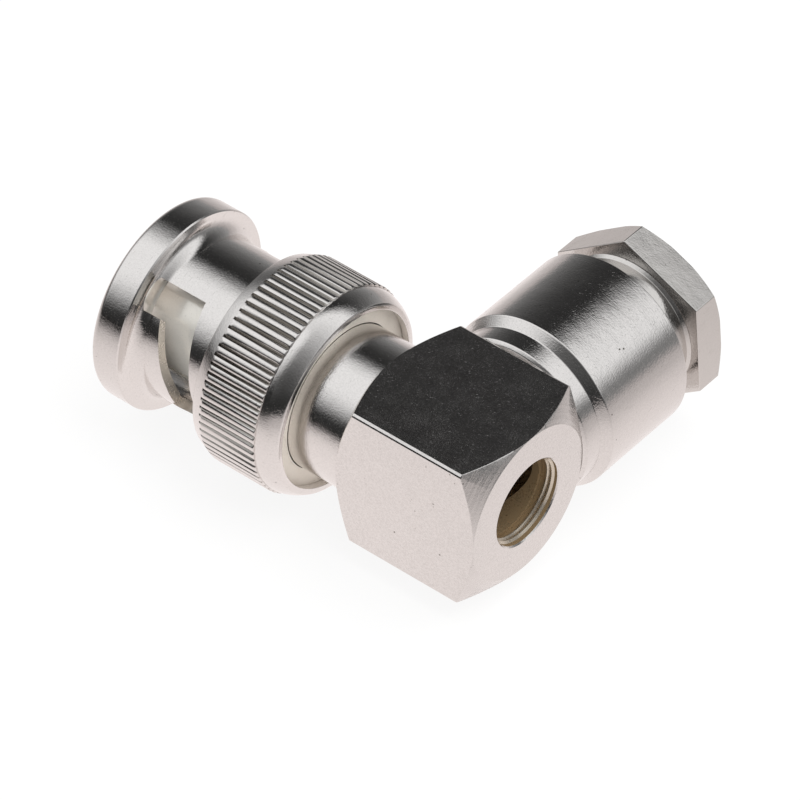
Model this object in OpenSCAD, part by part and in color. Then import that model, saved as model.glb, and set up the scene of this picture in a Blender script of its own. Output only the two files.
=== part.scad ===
// Right angle bayonet plug for thin coaxial cable.
// The plug axis lies along X and mates towards -X. Its reference plane, the tip of the contact
// shell, is at X = 0. The cable leaves along +Y, on an axis that crosses the plug axis.

/* [Coupling ring] */
// Overall length of the coupling ring
ring_length = 15; // [13:0.1:18]
// How far the ring reaches ahead of the reference plane
ring_reach = 1.1; // [0.6:0.1:1.8]
// Bore that passes over the mating socket
ring_bore_d = 9.84; // [9.7:0.02:10.2]
// Diameter of the front flange
flange_d = 14; // [12.6:0.1:17]
// Width of the front flange
flange_width = 2.3; // [1.4:0.1:2.8]
// Radius of the flange's front edge
flange_round = 0.55; // [0.2:0.05:0.9]
// Hollow radius between the flange and the barrel
flange_fillet = 1; // [0.3:0.1:1.2]
// Diameter of the slotted barrel
barrel_d = 11.18; // [10.9:0.02:12]
// Length from the flange to the step up to the grip
barrel_length = 6.02; // [5.6:0.02:6.6]
// Diameter at the front of the grip's chamfer
grip_front_d = 13.68; // [12:0.02:14]
// Length of that chamfer
grip_chamfer = 1.03; // [0.4:0.01:1.4]
// Diameter over the knurled grip
grip_d = 14.5; // [14:0.1:18]
// Length of the knurled grip
grip_length = 4.22; // [3:0.02:6]
// Number of straight knurl teeth
knurl_teeth = 72; // [48:1:90]
// Depth of the grooves between the teeth
knurl_depth = 0.22; // [0.1:0.01:0.3]
// Share of the pitch that each tooth's land takes
knurl_land = 0.52; // [0.3:0.01:0.7]
// Diameter of the plain band behind the grip
band_d = 14.24; // [13.8:0.02:17]
// Radius of the long round behind the band
rear_round = 6; // [2:0.1:12]
// Diameter at the end of that round
rear_d = 12.96; // [12.6:0.02:13.8]
// Opening inside the ring's rear lip
rear_mouth_d = 12.34; // [11.6:0.02:12.8]
// Length of the lip that holds the closing washer
rear_lip = 0.55; // [0.3:0.05:0.9]

/* [Bayonet slots] */
// Width of the entry channel and diameter of the locking pocket
slot_width = 2.3; // [2.1:0.05:2.5]
// Clock angle of the first entry channel about the plug axis
slot_clock = 132.7; // [0:0.1:180]
// Turn from the entry channel to the locking pocket
slot_turn = 84; // [78:1:90]
// Turn from the entry channel to the top of the ramp
ramp_turn = 60; // [50:1:66]
// Distance from the reference plane to the end of the entry channel
channel_end = 4.95; // [4.6:0.05:5.4]
// Distance from the reference plane to the ramp's front edge, at the channel
ramp_front = 2.34; // [2.2:0.02:2.6]
// Rise of that front edge along the ramp
ramp_front_rise = 1.63; // [1.4:0.01:1.8]
// Rise of the ramp's back edge along the ramp
ramp_back_rise = 1.23; // [1:0.01:1.4]
// Further rise of the front edge, from the ramp to the locking pocket
run_front_rise = 0.33; // [0:0.01:0.4]
// Drop of the back edge, from the ramp to the locking pocket
run_back_drop = 0.78; // [0.4:0.01:1]
// Distance from the reference plane to the centre of the locking pocket
pocket_x = 4.9; // [4.7:0.02:5.2]
// Height of the crowned floor of the entry groove above the plug axis
groove_top = 6.1; // [5.9:0.05:6.4]
// Radius of that crowned floor
groove_crown = 2.2; // [1.3:0.05:2.6]

/* [Contact shell] */
// Outside diameter of the bead at the tip of the fingers
bead_d = 8.2; // [8.1:0.02:8.3]
// Length of the bead's straight land
bead_land = 0.3; // [0.2:0.02:0.4]
// Radius of the rounds before and behind that land
bead_round = 0.42; // [0.34:0.02:0.8]
// Outside diameter of the spring fingers behind the bead
shell_d = 7.8; // [7.7:0.02:8.04]
// Bore of the shell
shell_bore_d = 7.04; // [6.6:0.02:7.2]
// Number of slots between the fingers
finger_slots = 4; // [4:1:8]
// Width of each slot
finger_slot = 0.42; // [0.3:0.02:0.6]
// Length of the fingers
finger_length = 5.8; // [4:0.1:7]
// Clock angle of the first slot
finger_clock = 23; // [0:1:90]
// Distance from the reference plane to the sealing face of the gasket
mate_depth = 8.4; // [8.3:0.01:8.5]
// Diameter of the shoulder that holds the ring
shoulder_d = 12.4; // [11.8:0.02:12.6]
// Thickness of that shoulder
shoulder_t = 1.2; // [0.8:0.05:1.4]
// Diameter of the stub that is pressed into the neck
stub_d = 8.6; // [8:0.05:9]
// Length of that stub
stub_length = 6; // [3:0.1:6.2]

/* [Washers and gasket in the ring] */
// Thickness of the mating gasket
gasket_t = 0.95; // [0.6:0.05:1.2]
// Thickness of the washer that closes the ring
closing_t = 0.5; // [0.3:0.05:0.7]
// How far that washer's rim reaches into the ring's wall
closing_grip = 0.28; // [0.15:0.01:0.35]
// Thickness of the thrust washer
thrust_t = 0.25; // [0.15:0.01:0.35]
// Thickness of each bowed spring washer
spring_t = 0.2; // [0.12:0.01:0.25]

/* [Elbow body] */
// Distance from the reference plane to the cable axis
cable_x = 22.8; // [22:0.1:26]
// Width and height of the square block
block_w = 10.7; // [10.2:0.1:13]
// Length of the block along the plug axis
block_length = 10.76; // [10:0.02:14]
// Slope of the turned chamfers at both ends of the block
block_chamfer = 29; // [20:1:40]
// Edge break along the block's four long edges
block_edge = 0.15; // [0.05:0.01:0.3]
// Diameter of the neck that carries the ring
neck_d = 10; // [9.6:0.05:10.2]
// Bore that holds the rear insulator
seat_bore_d = 6; // [5.4:0.1:6.4]
// Depth of that bore past the contact shell's stub
seat_depth = 2.15; // [1.5:0.05:3]
// Diameter of the soldering chamber behind the thread
chamber_d = 5.36; // [4.4:0.02:5.4]
// Diameter of the bore from the cable side that crosses the chamber
cross_bore_d = 7.2; // [6:0.1:7.6]
// How far that bore reaches past the plug axis
cross_bore_past = 2.8; // [1:0.1:3.4]
// Minor diameter of the thread in the access hole
access_d = 5.7; // [5.5:0.1:6]
// Depth of the access hole's thread
access_depth = 1.25; // [0.8:0.05:3.2]
// Chamfer at the mouth of the access hole
access_chamfer = 0.24; // [0.1:0.02:0.4]

/* [Insulators and centre contact] */
// Distance from the reference plane to the front of the front insulator
insulator_x = 0.6; // [0.2:0.1:1.2]
// Diameter of the socket round the pin
socket_d = 4.84; // [4.4:0.02:5.2]
// Depth of that socket
socket_depth = 4.4; // [3:0.1:5.5]
// Distance from the reference plane to the joint between both insulators
insulator_joint = 12.9; // [11:0.1:14]
// Diameter of the centre pin
pin_d = 1.35; // [1.32:0.01:1.37]
// Distance from the reference plane to the tip of the pin
pin_x = 0.9; // [0.4:0.1:1.5]
// Length of the pin's tapered tip
pin_taper = 0.5; // [0.3:0.05:0.8]
// Diameter of the contact where the front insulator holds it
contact_d = 1.8; // [1.5:0.05:2]
// Diameter of the contact's soldering end
solder_d = 2.2; // [1.8:0.05:2.6]
// How far the soldering end reaches past the cable axis
solder_past = 1.2; // [0.6:0.1:1.8]
// Width of the slot for the cable's inner conductor
solder_slot = 0.95; // [0.7:0.05:1.1]
// Depth of that slot
solder_slot_depth = 2.2; // [1.6:0.1:2.8]

/* [Clamp sleeve] */
// Distance from the plug axis to the free end of the sleeve
sleeve_end = 14.95; // [14:0.05:18]
// Diameter of the collar beside the block
collar_d = 11.3; // [10.8:0.05:12]
// Length of that collar
collar_length = 1.5; // [0.8:0.05:2]
// Diameter of the sleeve
sleeve_d = 12.4; // [12:0.05:14]
// Minor diameter of the sleeve's inner thread
sleeve_bore_d = 9.56; // [9.2:0.02:9.8]
// Distance from the plug axis to the floor of that bore
sleeve_floor = 7.3; // [6.9:0.05:7.8]
// Diameter of the spigot that is pressed into the block
spigot_d = 8; // [7:0.1:8.6]
// Length of that spigot
spigot_length = 1.8; // [1.2:0.1:2]
// Bore for the cable's insulation
core_bore_d = 4.6; // [3.6:0.1:5]

/* [Cable clamp] */
// Width across the flats of the clamp nut
nut_flats = 10.95; // [10.6:0.05:13]
// Thickness of the nut's hexagon
nut_head = 2.38; // [1.6:0.02:3.5]
// Clock angle of the hexagon about the cable axis
nut_clock = 36.7; // [0:0.1:60]
// Slope of the chamfer on the nut's rear edge
nut_chamfer = 31; // [20:1:40]
// Gap between the sleeve and the hexagon, with the nut backed off
nut_gap = 2.13; // [0.5:0.01:2.4]
// Bore for the cable
cable_bore_d = 5.5; // [4.4:0.1:5.8]
// Length of the braid clamp without its nose
clamp_t = 1.2; // [0.8:0.05:1.6]
// Length of the braid clamp's nose
clamp_nose = 0.8; // [0.4:0.05:1.1]
// Diameter of the braid clamp's nose
nose_d = 6.2; // [5.6:0.1:6.6]
// Bore of the braid clamp
clamp_bore_d = 3.2; // [2.8:0.1:3.6]
// Thickness of the cable gasket
seal_t = 1.6; // [1.2:0.05:2]
// Thickness of the slip washer
slip_t = 0.34; // [0.2:0.02:0.5]

/* [Clearances] */
// Gap between flat faces that seat on each other
seat_gap = 0.02; // [0.01:0.01:0.05]
// Radial gap of a pressed or glued piece
press_gap = 0.01; // [0.005:0.005:0.03]
// Radial gap between pieces that turn or slide
run_gap = 0.05; // [0.03:0.01:0.1]

/* [Hidden] */
$fn = 96;
// How far a cutter passes its face
cut = 1;

// Places along the plug axis; the knurl starts at the share knurl_lead of the chamfer from its end
knurl_lead = 0.2;
ring_front = -ring_reach;
ring_rear = ring_front + ring_length;
flange_back = ring_front + flange_width;
step_face = flange_back + barrel_length;
knurl_front = step_face + grip_chamfer * (1 - knurl_lead);
grip_rear = step_face + grip_chamfer + grip_length;
shoulder_front = mate_depth + gasket_t + seat_gap;
shoulder_back = shoulder_front + shoulder_t;
lip_front = ring_rear - rear_lip;
closing_front = lip_front - closing_t - seat_gap;
thrust_front = closing_front - thrust_t - seat_gap;
spring_space = thrust_front - shoulder_back;
stub_end = shoulder_back + stub_length;
block_front = cable_x - block_length / 2;
block_rear = cable_x + block_length / 2;

// Sizes in the ring
bore_r = ring_bore_d / 2;
flange_r = flange_d / 2;
barrel_r = barrel_d / 2;
grip_r = grip_d / 2;
root_r = grip_r - knurl_depth;
spring_room_r = shoulder_d / 2 + 2 * run_gap;
closing_seat_r = spring_room_r + closing_grip;
knurl_pitch = 360 / knurl_teeth;
flank_past = 1.3;
band_edge = 0.08;
bore_lead = 0.35;
rear_edge = 0.1;

// Centre of the long round, which runs from the band to the rear edge
rear_chord = [rear_d / 2 - band_d / 2, ring_rear - grip_rear];
rear_depth = sqrt(rear_round * rear_round - norm(rear_chord) * norm(rear_chord) / 4);
rear_centre = [
    (rear_d + band_d) / 4 - rear_depth * rear_chord[1] / norm(rear_chord),
    (ring_rear + grip_rear) / 2 + rear_depth * rear_chord[0] / norm(rear_chord)
];
// Straight steps that make up the turn of a bayonet slot, and where in the channel they start
slot_steps = 14;
slot_lead = 9;

// Sizes of the washers in the ring
washer_bore_r = neck_d / 2 + run_gap;
washer_r = shoulder_d / 2;
spring_height = (spring_space - 3 * seat_gap) / 2;
spring_bow = spring_height - spring_t;
spring_curve = (washer_r * washer_r + spring_bow * spring_bow) / (2 * spring_bow);

// Edge break of the contact shell
shell_edge = 0.07;

// Places along the cable axis
block_side = block_w / 2;
spigot_front = block_side - spigot_length;
collar_front = block_side + seat_gap;
cone_start = collar_front + collar_length;
sleeve_rise = (sleeve_d - collar_d) / 2;
clamp_front = sleeve_floor + seat_gap;
nose_front = clamp_front + clamp_t;
seal_front = nose_front + seat_gap;
slip_seat = seal_front + seal_t + seat_gap;
nut_head_front = sleeve_end + nut_gap;
nut_front = slip_seat + slip_t + seat_gap + nut_gap;
slip_back = nut_front - seat_gap;
slip_front = slip_back - slip_t;
nut_back = nut_head_front + nut_head;
bore_fit_r = sleeve_bore_d / 2 - run_gap;

// Turns a profile of radius and length about the plug axis, length along +X
module about_plug_axis() {
    rotate([0, 90, 0])
        rotate_extrude()
            children();
}

// Turns a profile about the cable axis, length along +Y
module about_cable_axis() {
    translate([cable_x, 0, 0])
        rotate([-90, 0, 0])
            rotate_extrude()
                children();
}

// Part of a profile between two radii and two lengths
module band(inner, outer, from, to) {
    translate([inner, from])
        square([outer - inner, to - from]);
}

// Ring with a chamfer on its four edges
module chamfered_band(inner, outer, from, to, edge) {
    polygon([
        [inner, from + edge], [inner + edge, from], [outer - edge, from], [outer, from + edge],
        [outer, to - edge], [outer - edge, to], [inner + edge, to], [inner, to - edge]
    ]);
}

// Outside of the ring, solid to its axis
module ring_outline() {
    // Flange with its rounded front edge
    band(0, flange_r - flange_round, ring_front, flange_back);
    band(0, flange_r, ring_front + flange_round, flange_back - band_edge);
    band(0, flange_r - band_edge, ring_front + flange_round, flange_back);
    translate([flange_r - flange_round, ring_front + flange_round])
        circle(flange_round);
    // Hollow fillet that runs into the barrel
    difference() {
        band(0, barrel_r + flange_fillet, flange_back - band_edge, flange_back + flange_fillet);
        translate([barrel_r + flange_fillet, flange_back + flange_fillet])
            circle(flange_fillet);
    }
    // Barrel, and the grip behind its chamfer
    band(0, barrel_r, flange_back, step_face);
    polygon([
        [0, step_face], [grip_front_d / 2, step_face], [grip_r, step_face + grip_chamfer],
        [grip_r, grip_rear], [0, grip_rear]
    ]);
    // Plain band, and the long round from it to the rear edge
    intersection() {
        polygon([
            [0, grip_rear - band_edge], [band_d / 2, grip_rear - band_edge],
            [band_d / 2, ring_rear - rear_edge], [rear_d / 2, ring_rear - rear_edge],
            [rear_d / 2 - rear_edge, ring_rear], [0, ring_rear]
        ]);
        translate(rear_centre)
            circle(rear_round, $fn = 360);
    }
}

// Bore, spring room, washer seat and rear mouth
module ring_hollow() {
    band(0, bore_r, ring_front - cut, shoulder_front);
    polygon([
        [0, ring_front - cut], [bore_r + bore_lead + cut, ring_front - cut],
        [bore_r, ring_front + bore_lead], [0, ring_front + bore_lead]
    ]);
    band(0, spring_room_r, shoulder_front - run_gap, lip_front);
    band(0, closing_seat_r, closing_front, lip_front);
    band(0, rear_mouth_d / 2, closing_front, ring_rear + cut);
}

// Straight grooves of the knurl, their flanks carried a little past the lands
module knurl_grooves() {
    function on_circle(r, turn) = [r * cos(turn), r * sin(turn)];
    translate([knurl_front, 0, 0])
        rotate([0, 90, 0])
            linear_extrude(grip_rear - knurl_front)
                difference() {
                    circle(grip_r + cut);
                    polygon([
                        for (i = [0 : knurl_teeth - 1], side = [-1, 1])
                            let (land = on_circle(grip_r, knurl_pitch * (i + side * knurl_land / 2)),
                                 root = on_circle(root_r, knurl_pitch * (i + side / 2)),
                                 past = root + flank_past * (land - root))
                            each side < 0 ? [past] : [past, root]
                    ]);
                }
}

// Front and back edges of a bayonet slot at a turn from its channel
function slot_front(turn) = lookup(turn, [
    [0, ramp_front], [ramp_turn, ramp_front + ramp_front_rise],
    [slot_turn, ramp_front + ramp_front_rise + run_front_rise]
]);
function slot_back(turn) = lookup(turn, [
    [-slot_lead, channel_end + run_gap / 2], [ramp_turn, channel_end + ramp_back_rise],
    [slot_turn, channel_end + ramp_back_rise - run_back_drop]
]);

// One bayonet slot: the entry channel, the climbing ramp and the locking pocket
module bayonet_slot() {
    step = (slot_turn + slot_lead) / slot_steps;
    reach = barrel_r + cut;
    half_step = (barrel_r + 4 * run_gap) * tan(step / 2);
    // Entry channel, a parallel slot with a crowned floor under the flange
    intersection() {
        translate([ring_front - cut, 0, -slot_width / 2])
            cube([channel_end - ring_front + cut, groove_top + cut, slot_width]);
        translate([ring_front - cut, groove_top - groove_crown, 0])
            rotate([0, 90, 0])
                cylinder(h = channel_end - ring_front + cut, r = groove_crown);
    }
    // Ramp and run, in short straight steps round the barrel
    for (i = [0 : slot_steps - 1])
        let (turn = step * i - slot_lead)
            rotate([turn + step / 2, 0, 0])
                rotate([-90, 0, 0])
                    linear_extrude(reach)
                        polygon([
                            [slot_front(turn), half_step],
                            [slot_back(turn), half_step],
                            [slot_back(turn + step), -half_step],
                            [slot_front(turn + step), -half_step]
                        ]);
    // Locking pocket
    rotate([slot_turn, 0, 0])
        translate([pocket_x, 0, 0])
            rotate([-90, 0, 0])
                cylinder(h = reach, d = slot_width);
}

// Coupling ring, turned and knurled, with two bayonet slots
module coupling_ring() {
    color("silver")
        difference() {
            about_plug_axis()
                ring_outline();
            knurl_grooves();
            about_plug_axis()
                ring_hollow();
            for (side = [0, 180])
                rotate([slot_clock + side, 0, 0])
                    bayonet_slot();
        }
}

// Flat washer behind the ring's rear lip
module closing_washer() {
    color("gainsboro")
        about_plug_axis()
            band(washer_bore_r, closing_seat_r - press_gap,
                 closing_front + seat_gap / 2, lip_front - seat_gap / 2);
}

// Flat washer between the springs and the closing washer
module thrust_washer() {
    color("lightgrey")
        about_plug_axis()
            band(washer_bore_r, washer_r, thrust_front, thrust_front + thrust_t);
}

// Washer bent to a cylinder about a line across the plug axis, its middle at X = 0, its ends behind
module bowed_washer() {
    intersection() {
        about_plug_axis()
            band(washer_bore_r, washer_r, -cut, spring_height + cut);
        translate([spring_curve, 0, 0])
            difference() {
                cylinder(h = 2 * grip_r, r = spring_curve, center = true, $fn = 360);
                cylinder(h = 2 * grip_r + cut, r = spring_curve - spring_t, center = true, $fn = 360);
            }
        translate([-cut, -grip_r, -grip_r])
            cube([spring_height + 2 * cut, 2 * grip_r, 2 * grip_r]);
    }
}

module front_spring_washer() {
    color("slategray")
        translate([shoulder_back + seat_gap, 0, 0])
            bowed_washer();
}

module rear_spring_washer() {
    color("slategray")
        translate([thrust_front - seat_gap, 0, 0])
            mirror([1, 0, 0])
                bowed_washer();
}

// Square block and neck, machined in one piece
module elbow_body() {
    corner_r = block_side * sqrt(2);
    chamfer_run = (corner_r - block_side) * tan(block_chamfer);
    color("silver")
        difference() {
            union() {
                // Block with its long edges broken and both ends turned back
                intersection() {
                    translate([block_front, 0, 0])
                        rotate([0, 90, 0])
                            linear_extrude(block_length)
                                intersection() {
                                    square(block_w, center = true);
                                    rotate(45)
                                        square((block_w - block_edge) * sqrt(2), center = true);
                                }
                    about_plug_axis()
                        polygon([
                            [0, block_front], [block_side, block_front],
                            [corner_r, block_front + chamfer_run], [corner_r, block_rear - chamfer_run],
                            [block_side, block_rear], [0, block_rear]
                        ]);
                }
                about_plug_axis()
                    band(0, neck_d / 2, shoulder_back + press_gap, block_front + cut);
            }
            about_plug_axis()
                elbow_bores();
            // Way in for the cable, and the seat of the sleeve
            about_cable_axis() {
                band(0, cross_bore_d / 2, -cross_bore_past, block_side + cut);
                band(0, spigot_d / 2, spigot_front - seat_gap, block_side + cut);
            }
        }
}

// Bores on the plug axis, from the neck to the access hole
module elbow_bores() {
    band(0, stub_d / 2, shoulder_back - cut, stub_end + seat_gap);
    band(0, seat_bore_d / 2, shoulder_back, stub_end + seat_depth);
    band(0, chamber_d / 2, shoulder_back, block_rear);
    band(0, access_d / 2, block_rear - access_depth, block_rear + cut);
    polygon([
        [0, block_rear - access_chamfer], [access_d / 2, block_rear - access_chamfer],
        [access_d / 2 + access_chamfer + cut, block_rear + cut], [0, block_rear + cut]
    ]);
}

// Outside of the contact shell, solid to its axis
module shell_outline() {
    bead_rear = sqrt(bead_round * bead_round - pow(bead_round - (bead_d - shell_d) / 2, 2));
    land_front = bead_land;
    land_back = land_front + bead_land;
    // Bead at the tip, its land between two rounds
    intersection() {
        band(0, bead_d / 2, 0, land_back + bead_rear);
        union() {
            translate([bead_d / 2 - bead_round, land_front])
                circle(bead_round);
            band(0, bead_d / 2, land_front, land_back);
            translate([bead_d / 2 - bead_round, land_back])
                circle(bead_round);
            band(0, bead_d / 2 - bead_round, 0, land_back + bead_rear);
        }
    }
    band(0, shell_d / 2, land_front, shoulder_back);
    chamfered_band(0, shoulder_d / 2, shoulder_front, shoulder_back, shell_edge);
    band(0, stub_d / 2 - press_gap, shoulder_back - shell_edge, stub_end);
}

// Outer contact: slotted spring fingers, the shoulder and the pressed stub
module contact_shell() {
    tip_edge = 2 * shell_edge;
    color("lightgrey")
        difference() {
            about_plug_axis()
                difference() {
                    shell_outline();
                    band(-cut, shell_bore_d / 2, -cut, stub_end + cut);
                    polygon([
                        [0, -cut], [shell_bore_d / 2 + tip_edge + cut, -cut],
                        [shell_bore_d / 2, tip_edge], [0, tip_edge]
                    ]);
                }
            for (i = [0 : finger_slots - 1])
                rotate([finger_clock + 360 / finger_slots * i, 0, 0])
                    translate([-cut, 0, -finger_slot / 2])
                        cube([finger_length + cut, shell_d, finger_slot]);
        }
}

// Seal that the mating socket closes on
module mating_gasket() {
    color("dimgray")
        about_plug_axis()
            chamfered_band(shell_d / 2 + press_gap, bore_r - run_gap,
                           mate_depth, mate_depth + gasket_t, shell_edge);
}

// White insulator with the socket round the pin
module front_insulator() {
    color("white")
        about_plug_axis()
            difference() {
                band(0, shell_bore_d / 2 - press_gap, insulator_x, insulator_joint);
                band(-cut, socket_d / 2, insulator_x - cut, insulator_x + socket_depth);
                band(-cut, contact_d / 2 + press_gap, insulator_x, insulator_joint + cut);
            }
}

// White insulator in the stub and in the block, stepped between them
module rear_insulator() {
    color("white")
        about_plug_axis()
            difference() {
                union() {
                    band(0, shell_bore_d / 2 - press_gap, insulator_joint + seat_gap, stub_end);
                    band(0, seat_bore_d / 2 - press_gap, stub_end, stub_end + seat_depth - seat_gap);
                }
                band(-cut, solder_d / 2 + press_gap, insulator_joint, cable_x);
            }
}

// Centre contact: the pin in front, the slotted soldering end behind
module centre_contact() {
    solder_end = cable_x + solder_past;
    color("gold")
        difference() {
            about_plug_axis()
                polygon([
                    [0, pin_x], [pin_d / 4, pin_x], [pin_d / 2, pin_x + pin_taper],
                    [pin_d / 2, insulator_x + socket_depth], [contact_d / 2, insulator_x + socket_depth],
                    [contact_d / 2, insulator_joint + 2 * seat_gap],
                    [solder_d / 2, insulator_joint + 2 * seat_gap],
                    [solder_d / 2, solder_end], [0, solder_end]
                ]);
            translate([solder_end - solder_slot_depth, -solder_d, -solder_slot / 2])
                cube([solder_slot_depth + cut, 2 * solder_d, solder_slot]);
        }
}

// Turned sleeve that leads the cable into the block
module clamp_sleeve() {
    front_edge = 0.25;
    rim_edge = 0.1;
    thread_lead = 0.3;
    color("silver")
        about_cable_axis()
            difference() {
                polygon([
                    [0, spigot_front], [spigot_d / 2 - press_gap, spigot_front],
                    [spigot_d / 2 - press_gap, collar_front],
                    [collar_d / 2 - front_edge, collar_front], [collar_d / 2, collar_front + front_edge],
                    [collar_d / 2, cone_start], [sleeve_d / 2, cone_start + sleeve_rise],
                    [sleeve_d / 2, sleeve_end - rim_edge], [sleeve_d / 2 - rim_edge, sleeve_end],
                    [sleeve_bore_d / 2 + thread_lead, sleeve_end],
                    [sleeve_bore_d / 2, sleeve_end - thread_lead],
                    [sleeve_bore_d / 2, sleeve_floor], [0, sleeve_floor]
                ]);
                band(-cut, core_bore_d / 2, spigot_front - cut, sleeve_floor + cut);
            }
}

// Ring that traps the cable's braid against the sleeve's floor
module braid_clamp() {
    color("darkkhaki")
        about_cable_axis()
            polygon([
                [clamp_bore_d / 2, clamp_front], [bore_fit_r, clamp_front], [bore_fit_r, nose_front],
                [nose_d / 2, nose_front], [nose_d / 2 - clamp_nose / 2, nose_front + clamp_nose],
                [clamp_bore_d / 2, nose_front + clamp_nose]
            ]);
}

// Rubber gasket that the nut squeezes onto the cable
module cable_gasket() {
    nose_gap = 2 * press_gap;
    color("dimgray")
        about_cable_axis()
            difference() {
                band(cable_bore_d / 2 - nose_gap, bore_fit_r, seal_front, seal_front + seal_t);
                polygon([
                    [0, seal_front - cut], [nose_d / 2 + nose_gap, seal_front - cut],
                    [nose_d / 2 + nose_gap, seal_front],
                    [nose_d / 2 - clamp_nose / 2 + nose_gap, seal_front + clamp_nose],
                    [0, seal_front + clamp_nose]
                ]);
            }
}

// Washer that lets the nut turn without dragging the gasket round
module slip_washer() {
    color("gainsboro")
        about_cable_axis()
            band(cable_bore_d / 2, bore_fit_r, slip_front, slip_back);
}

// Hexagon nut with its threaded shank, backed off as it is supplied
module clamp_nut() {
    corner_r = nut_flats / 2 / cos(30);
    lead = 0.3;
    mouth = 0.4;
    color("silver")
        difference() {
            union() {
                intersection() {
                    translate([cable_x, nut_head_front, 0])
                        rotate([-90, 0, 0])
                            rotate([0, 0, -nut_clock])
                                cylinder(h = nut_head, r = corner_r, $fn = 6);
                    about_cable_axis()
                        polygon([
                            [0, nut_head_front], [corner_r + cut, nut_head_front],
                            [corner_r + cut, nut_back - (corner_r + cut - nut_flats / 2) * tan(nut_chamfer)],
                            [nut_flats / 2, nut_back], [0, nut_back]
                        ]);
                }
                about_cable_axis()
                    polygon([
                        [0, nut_front], [bore_fit_r - lead, nut_front], [bore_fit_r, nut_front + lead],
                        [bore_fit_r, nut_head_front + lead], [0, nut_head_front + lead]
                    ]);
            }
            about_cable_axis() {
                band(0, cable_bore_d / 2, nut_front - cut, nut_back + cut);
                polygon([
                    [0, nut_back - mouth], [cable_bore_d / 2, nut_back - mouth],
                    [cable_bore_d / 2 + mouth + cut, nut_back + cut], [0, nut_back + cut]
                ]);
            }
        }
}

coupling_ring();
closing_washer();
thrust_washer();
front_spring_washer();
rear_spring_washer();
elbow_body();
contact_shell();
mating_gasket();
front_insulator();
rear_insulator();
centre_contact();
clamp_sleeve();
braid_clamp();
cable_gasket();
slip_washer();
clamp_nut();
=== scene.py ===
import math

import bmesh
import bpy
from mathutils import Matrix, Vector


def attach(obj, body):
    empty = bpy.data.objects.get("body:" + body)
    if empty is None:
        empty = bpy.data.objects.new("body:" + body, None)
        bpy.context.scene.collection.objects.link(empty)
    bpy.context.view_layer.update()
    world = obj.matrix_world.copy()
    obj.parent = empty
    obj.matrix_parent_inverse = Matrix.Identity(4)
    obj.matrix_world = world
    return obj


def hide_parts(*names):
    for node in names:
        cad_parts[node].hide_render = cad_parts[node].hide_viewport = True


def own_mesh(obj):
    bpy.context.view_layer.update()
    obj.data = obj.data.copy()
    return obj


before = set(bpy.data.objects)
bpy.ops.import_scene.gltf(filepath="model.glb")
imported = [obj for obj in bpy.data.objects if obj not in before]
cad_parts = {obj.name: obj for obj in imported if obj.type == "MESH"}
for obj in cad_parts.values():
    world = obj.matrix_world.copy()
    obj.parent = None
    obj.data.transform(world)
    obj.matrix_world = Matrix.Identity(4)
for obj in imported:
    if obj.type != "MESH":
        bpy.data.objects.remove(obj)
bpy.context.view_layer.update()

MM = 0.001

# Camera. The plug lies along X, the cable leaves along +Y, and the camera looks down at the
# elbow's outer corner
VIEW_AZIMUTH = math.radians(37.9100454)
VIEW_HEIGHT = math.radians(42.6768882)
VIEW_ROLL = math.radians(1.6795869)
VIEW_CENTRE = Vector((14.8394, 4.1838, -2.4016))
VIEW_DISTANCE = 366.0015
VIEW_LENS = 263.7659

back = Vector((math.sin(VIEW_AZIMUTH) * math.cos(VIEW_HEIGHT),
               -math.cos(VIEW_AZIMUTH) * math.cos(VIEW_HEIGHT), math.sin(VIEW_HEIGHT)))
level = Vector((math.cos(VIEW_AZIMUTH), math.sin(VIEW_AZIMUTH), 0))
upright = back.cross(level)
right = math.cos(VIEW_ROLL) * level + math.sin(VIEW_ROLL) * upright
above = math.cos(VIEW_ROLL) * upright - math.sin(VIEW_ROLL) * level
camera = bpy.data.objects.new("camera", bpy.data.cameras.new("camera"))
bpy.context.scene.collection.objects.link(camera)
camera.data.lens = VIEW_LENS
camera.data.sensor_width = 36
camera.data.clip_start = 0.01
camera.data.clip_end = 20
turn = Matrix((right, above, back)).transposed().to_4x4()
camera.matrix_world = Matrix.Translation((VIEW_CENTRE + VIEW_DISTANCE * back) * MM) @ turn
bpy.context.scene.camera = camera
bpy.context.scene.view_settings.view_transform = "Standard"


# Materials
def linear(colour):
    """Linear RGBA of an sRGB hex colour."""
    parts = [int(colour[i:i + 2], 16) / 255 for i in (1, 3, 5)]
    return [c / 12.92 if c <= 0.04045 else ((c + 0.055) / 1.055) ** 2.4 for c in parts] + [1]


def add(tree, kind, inputs=None, **settings):
    """Adds a node with its settings; an input is a value or another node's output."""
    item = tree.nodes.new(kind)
    for key, value in settings.items():
        setattr(item, key, value)
    for key, value in (inputs or {}).items():
        if isinstance(value, bpy.types.NodeSocket):
            tree.links.new(value, item.inputs[key])
        else:
            item.inputs[key].default_value = value
    return item


def start_material(name):
    """New material with an empty node tree."""
    material = bpy.data.materials.new(name)
    material.use_nodes = True
    tree = material.node_tree
    tree.nodes.clear()
    return material, tree


def relief(tree, parts):
    """One bump from (height 0 to 1, depth in mm) pairs."""
    total = 0.0
    for height, depth_mm in parts:
        total = add(tree, "ShaderNodeMath", {0: height, 1: depth_mm * MM, 2: total},
                    operation="MULTIPLY_ADD").outputs[0]
    return add(tree, "ShaderNodeBump", {"Height": total, "Strength": 1.0, "Distance": 1.0})


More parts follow.
